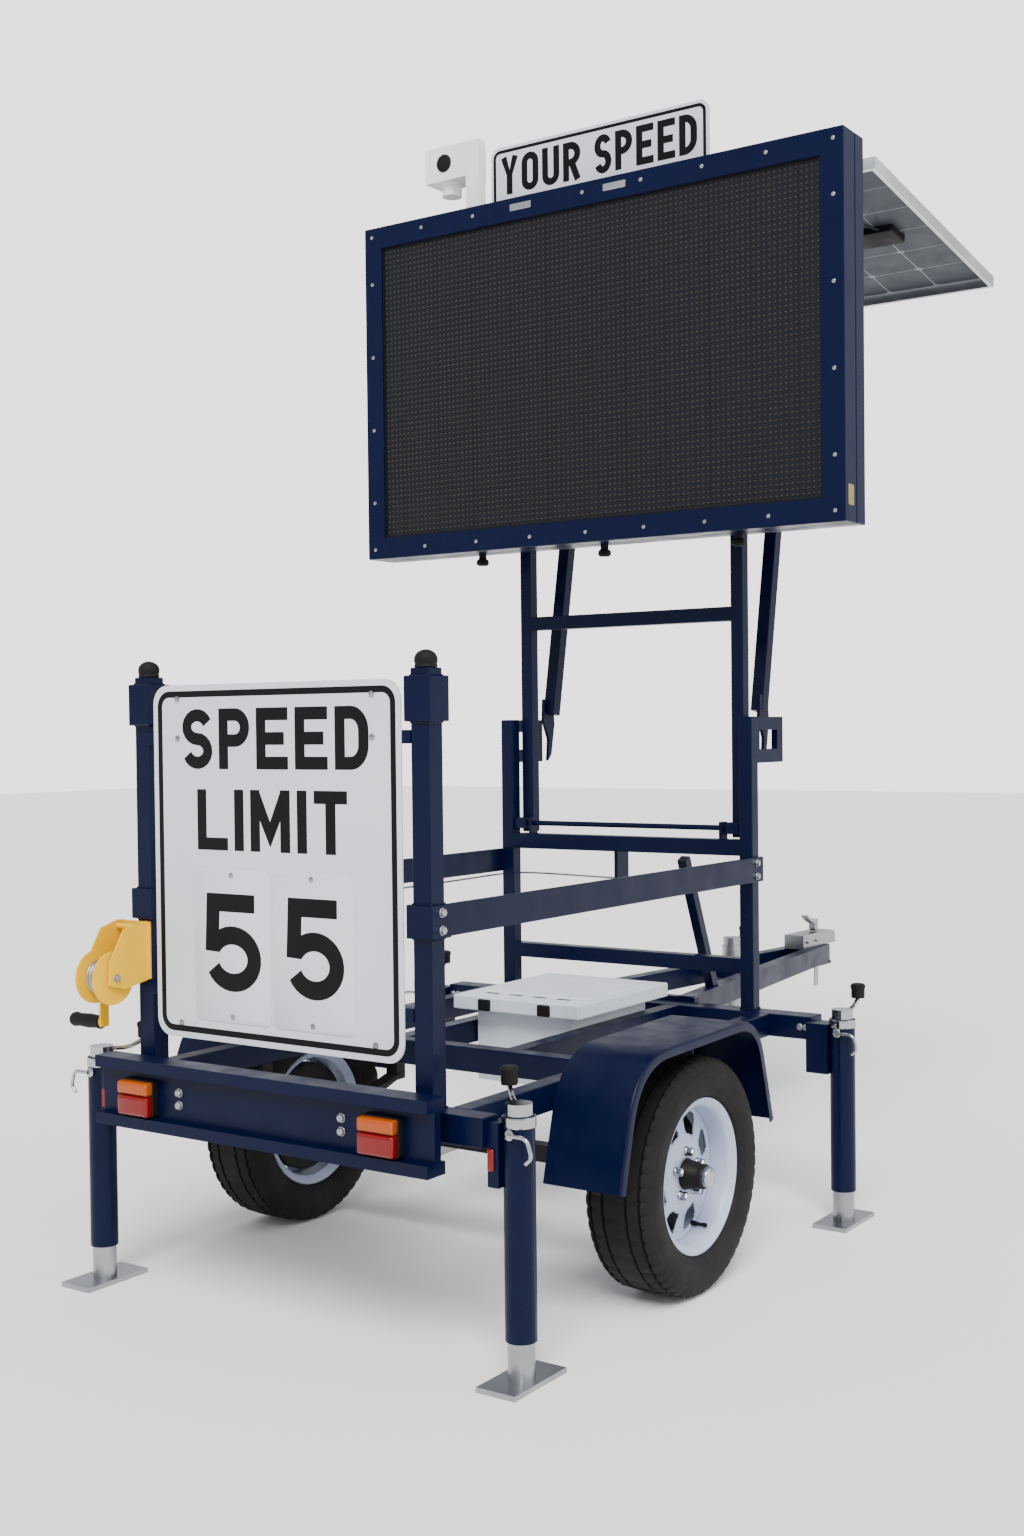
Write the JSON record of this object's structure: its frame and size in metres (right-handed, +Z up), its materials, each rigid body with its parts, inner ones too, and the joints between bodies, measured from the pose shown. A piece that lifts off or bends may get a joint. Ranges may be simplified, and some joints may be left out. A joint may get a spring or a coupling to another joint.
{
  "type": "speed display trailer",
  "caption": "Towable message trailer: hinged mast with an LED matrix board, folding solar panel on a prop, rear speed limit sign, winch and corner jacks.",
  "frame": {"origin": "Centre of the bounding box in X and Y, on the ground under the tyres and feet.", "axes": "+X is the trailer's right side, +Y points to the hitch, +Z is up."},
  "size_m": [1.65, 3.235, 3.27],
  "materials": {
    "navy": "satin gloss",
    "black_steel": "satin",
    "rubber": "matte",
    "tyre": "matte",
    "wheel": "satin",
    "zinc": "zinc plated",
    "sign_white": "white retroreflective sheet",
    "box_plastic": "fine grain",
    "lamp": "clear gloss",
    "winch_yellow": "gloss",
    "display": "matt black",
    "solar_alu": "anodised",
    "solar_glass": "clear over dark cells"
  },
  "bodies": {
    "trailer": {"rear_cross_member": "navy", "front_cross_member": "navy", "chassis_rail_right": "navy", "chassis_rail_left": "navy", "box_cradle": "navy", "drawbar": "navy", "rear_post_right": "navy", "rear_post_left": "navy", "rest_buffer_right": "rubber", "rest_buffer_left": "rubber", "upper_rail_right": "navy", "upper_rail_left": "navy", "rear_light_bar": "navy", "front_gantry": "navy", "mudguard_right": "navy", "mudguard_left": "navy", "axle": "black_steel", "leaf_spring_right": "black_steel", "leaf_spring_left": "black_steel", "sign_bracket": "navy", "speed_limit_sign": "sign_white", "tail_lamp_right": "lamp", "tail_lamp_left": "lamp", "winch_frame": "winch_yellow", "winch_cable": "zinc", "control_box": "box_plastic", "coupler": "zinc", "drawbar_jack_tube": "zinc", "mast_pivot_pin": "navy"},
    "mast": {"mast_frame": "navy", "board_cabinet": "navy", "your_speed_sign": "sign_white", "radar": "box_plastic"},
    "board_door": {"board_door_frame": "navy", "display_panel": "display"},
    "solar_panel": {"solar_frame": "solar_alu", "solar_laminate": "solar_glass"},
    "prop": {"prop_frame": "navy"},
    "wheel_right": {"tyre_right": "tyre", "rim_right": "wheel"},
    "wheel_left": {"tyre_left": "tyre", "rim_left": "wheel"},
    "winch_drum": {"winch_drum": "winch_yellow"},
    "winch_crank": {"winch_crank": "winch_yellow"},
    "box_lid": {"box_lid": "box_plastic"},
    "coupler_latch": {"coupler_latch": "zinc"},
    "drawbar_jack_leg": {"drawbar_jack_leg": "zinc"},
    "jack_rear_right_body": {"jack_rear_right_tube": "navy"},
    "jack_rear_right_inner": {"jack_rear_right_leg": "zinc"},
    "jack_rear_right_handle": {"jack_rear_right_crank": "zinc"},
    "jack_rear_left_body": {"jack_rear_left_tube": "navy"},
    "jack_rear_left_inner": {"jack_rear_left_leg": "zinc"},
    "jack_rear_left_handle": {"jack_rear_left_crank": "zinc"},
    "jack_front_right_body": {"jack_front_right_tube": "navy"},
    "jack_front_right_inner": {"jack_front_right_leg": "zinc"},
    "jack_front_right_handle": {"jack_front_right_crank": "zinc"},
    "jack_front_left_body": {"jack_front_left_tube": "navy"},
    "jack_front_left_inner": {"jack_front_left_leg": "zinc"},
    "jack_front_left_handle": {"jack_front_left_crank": "zinc"}
  },
  "joints": [
    {"name": "mast_tilt", "type": "hinge", "parent": "trailer", "child": "mast", "pos_m": [0, 0.1395, 1.1], "axis": [1, 0, 0], "range_deg": [0, 64]},
    {"name": "board_door_swing", "type": "hinge", "parent": "mast", "child": "board_door", "pos_m": [0, 0.003, 3.008], "axis": [-1, 0, 0], "range_deg": [0, 75]},
    {"name": "solar_fold", "type": "hinge", "parent": "mast", "child": "solar_panel", "pos_m": [0, 0.1325, 2.965], "axis": [-1, 0, 0], "range_deg": [0, 58]},
    {"name": "prop_swing", "type": "hinge", "parent": "solar_panel", "child": "prop", "pos_m": [0, 0.57682, 2.85406], "axis": [-1, 0, 0], "range_deg": [-69.2, 0.5]},
    {"name": "wheel_right_spin", "type": "hinge", "parent": "trailer", "child": "wheel_right", "pos_m": [0.6225, -0.6835, 0.294], "axis": [1, 0, 0], "continuous": true},
    {"name": "wheel_left_spin", "type": "hinge", "parent": "trailer", "child": "wheel_left", "pos_m": [-0.6225, -0.6835, 0.294], "axis": [1, 0, 0], "continuous": true},
    {"name": "winch_drum_spin", "type": "hinge", "parent": "trailer", "child": "winch_drum", "pos_m": [-0.458, -1.5525, 0.81], "axis": [1, 0, 0], "range_deg": [-5, 800]},
    {"name": "winch_crank_spin", "type": "hinge", "parent": "trailer", "child": "winch_crank", "pos_m": [-0.5003, -1.5025, 0.9], "axis": [1, 0, 0], "range_deg": [-3200, 20]},
    {"name": "box_lid_swing", "type": "hinge", "parent": "trailer", "child": "box_lid", "pos_m": [0, 0.0275, 0.6045], "axis": [-1, 0, 0], "range_deg": [0, 90]},
    {"name": "coupler_latch_lift", "type": "hinge", "parent": "trailer", "child": "coupler_latch", "pos_m": [0, 1.5075, 0.652], "axis": [-1, 0, 0], "range_deg": [0, 60]},
    {"name": "drawbar_jack_slide", "type": "slide", "parent": "trailer", "child": "drawbar_jack_leg", "axis": [0, 0, 1], "range_m": [-0.17, 0.04]},
    {"name": "jack_rear_right_swivel", "type": "hinge", "parent": "trailer", "child": "jack_rear_right_body", "pos_m": [0.585, -1.3975, 0.53], "axis": [-1, 0, 0], "range_deg": [0, 90]},
    {"name": "jack_rear_right_slide", "type": "slide", "parent": "jack_rear_right_body", "child": "jack_rear_right_inner", "axis": [0, 0, 1], "range_m": [-0.2, 0.075]},
    {"name": "jack_rear_right_screw", "type": "hinge", "parent": "jack_rear_right_body", "child": "jack_rear_right_handle", "pos_m": [0.645, -1.3975, 0.576], "axis": [0, 0, 1], "range_deg": [-1930, 730]},
    {"name": "jack_rear_left_swivel", "type": "hinge", "parent": "trailer", "child": "jack_rear_left_body", "pos_m": [-0.585, -1.3975, 0.53], "axis": [-1, 0, 0], "range_deg": [0, 90]},
    {"name": "jack_rear_left_slide", "type": "slide", "parent": "jack_rear_left_body", "child": "jack_rear_left_inner", "axis": [0, 0, 1], "range_m": [-0.2, 0.075]},
    {"name": "jack_rear_left_screw", "type": "hinge", "parent": "jack_rear_left_body", "child": "jack_rear_left_handle", "pos_m": [-0.645, -1.3975, 0.576], "axis": [0, 0, 1], "range_deg": [-1930, 730]},
    {"name": "jack_front_right_swivel", "type": "hinge", "parent": "trailer", "child": "jack_front_right_body", "pos_m": [0.64, 0.0845, 0.53], "axis": [1, 0, 0], "range_deg": [0, 90]},
    {"name": "jack_front_right_slide", "type": "slide", "parent": "jack_front_right_body", "child": "jack_front_right_inner", "axis": [0, 0, 1], "range_m": [-0.2, 0.075]},
    {"name": "jack_front_right_screw", "type": "hinge", "parent": "jack_front_right_body", "child": "jack_front_right_handle", "pos_m": [0.737, 0.0845, 0.576], "axis": [0, 0, 1], "range_deg": [-1930, 730]},
    {"name": "jack_front_left_swivel", "type": "hinge", "parent": "trailer", "child": "jack_front_left_body", "pos_m": [-0.64, 0.0845, 0.53], "axis": [1, 0, 0], "range_deg": [0, 90]},
    {"name": "jack_front_left_slide", "type": "slide", "parent": "jack_front_left_body", "child": "jack_front_left_inner", "axis": [0, 0, 1], "range_m": [-0.2, 0.075]},
    {"name": "jack_front_left_screw", "type": "hinge", "parent": "jack_front_left_body", "child": "jack_front_left_handle", "pos_m": [-0.737, 0.0845, 0.576], "axis": [0, 0, 1], "range_deg": [-1930, 730]}
  ],
  "couplings": [
    {"joint": "winch_drum_spin", "follows": "mast_tilt", "ratio": 11},
    {"joint": "winch_crank_spin", "follows": "mast_tilt", "ratio": -44},
    {"joint": "prop_swing", "follows": "solar_fold", "ratio": -1.186},
    {"joint": "jack_rear_right_screw", "follows": "jack_rear_right_slide", "rad_per_m": 167.55},
    {"joint": "jack_rear_left_screw", "follows": "jack_rear_left_slide", "rad_per_m": 167.55},
    {"joint": "jack_front_right_screw", "follows": "jack_front_right_slide", "rad_per_m": 167.55},
    {"joint": "jack_front_left_screw", "follows": "jack_front_left_slide", "rad_per_m": 167.55}
  ]
}
